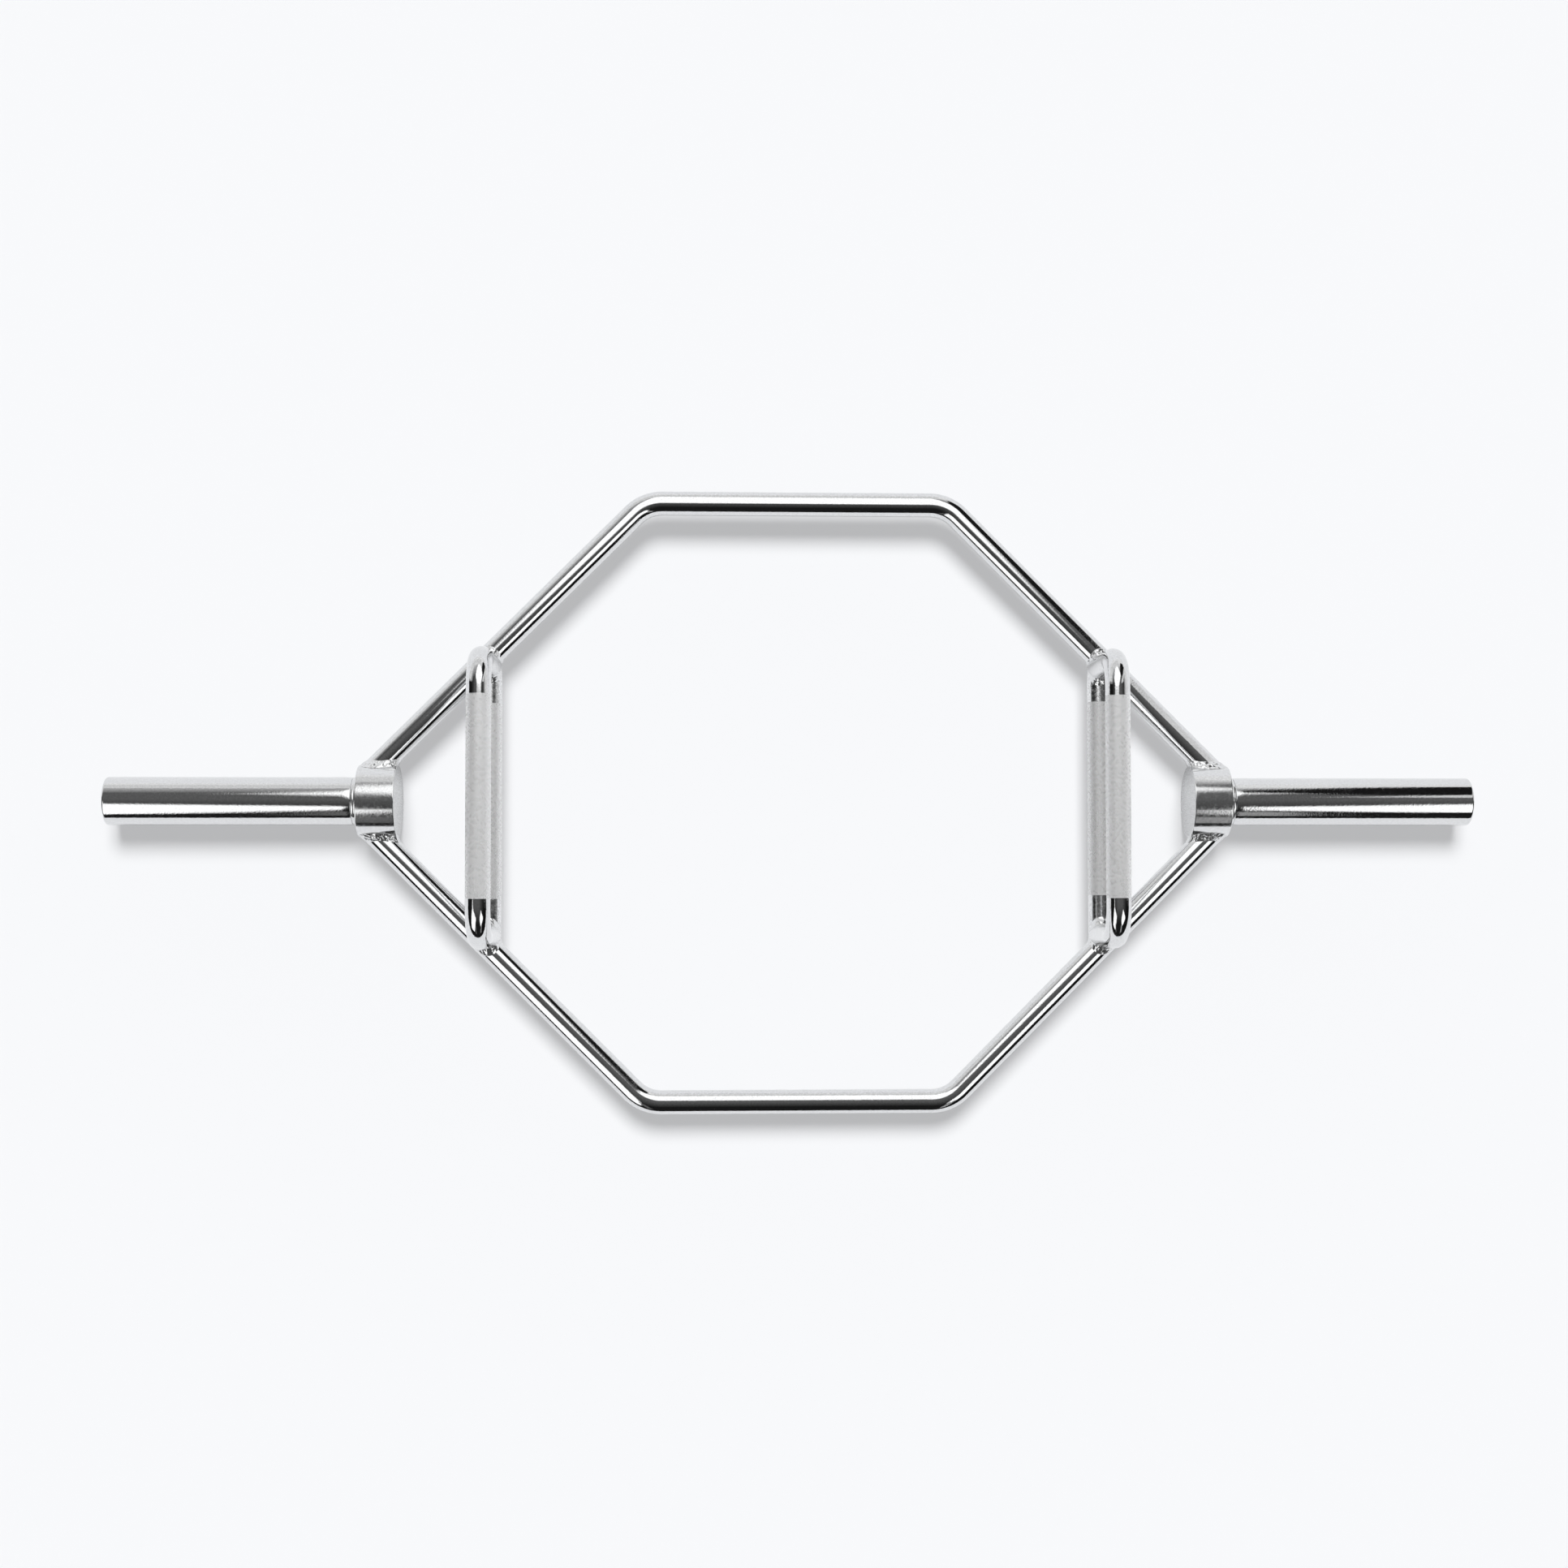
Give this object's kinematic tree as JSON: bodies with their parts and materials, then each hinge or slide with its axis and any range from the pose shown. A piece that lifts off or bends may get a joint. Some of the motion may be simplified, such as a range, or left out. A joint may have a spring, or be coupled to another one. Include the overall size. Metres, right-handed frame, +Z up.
{
  "type": "hex trap bar",
  "caption": "Welded chrome trap bar: a closed frame to stand inside, round plate sleeves at the ends, knurled low grips and raised handles for lifting.",
  "frame": {"origin": "on the floor, below the middle of the bar", "axes": "+X along the sleeves to the right, +Y to the rear, +Z up"},
  "size_m": [1.422, 0.65, 0.16],
  "materials": {
    "polished_chrome": "polished chrome plate",
    "knurled_chrome": "chrome plate, diamond knurl where the hands hold it",
    "weld_chrome": "chrome plate over a rippled weld bead"
  },
  "bodies": {
    "root": {"front_frame_bar": "polished_chrome", "rear_frame_bar": "polished_chrome", "left_hub": "polished_chrome", "right_hub": "polished_chrome", "left_sleeve": "polished_chrome", "right_sleeve": "polished_chrome", "left_sleeve_end_plug": "polished_chrome", "right_sleeve_end_plug": "polished_chrome", "left_sleeve_root_weld": "weld_chrome", "right_sleeve_root_weld": "weld_chrome", "left_low_grip": "knurled_chrome", "right_low_grip": "knurled_chrome", "left_raised_handle": "knurled_chrome", "right_raised_handle": "knurled_chrome", "front_hub_welds": "weld_chrome", "rear_hub_welds": "weld_chrome", "front_grip_welds": "weld_chrome", "rear_grip_welds": "weld_chrome", "front_handle_welds": "weld_chrome", "rear_handle_welds": "weld_chrome"}
  },
  "joints": []
}
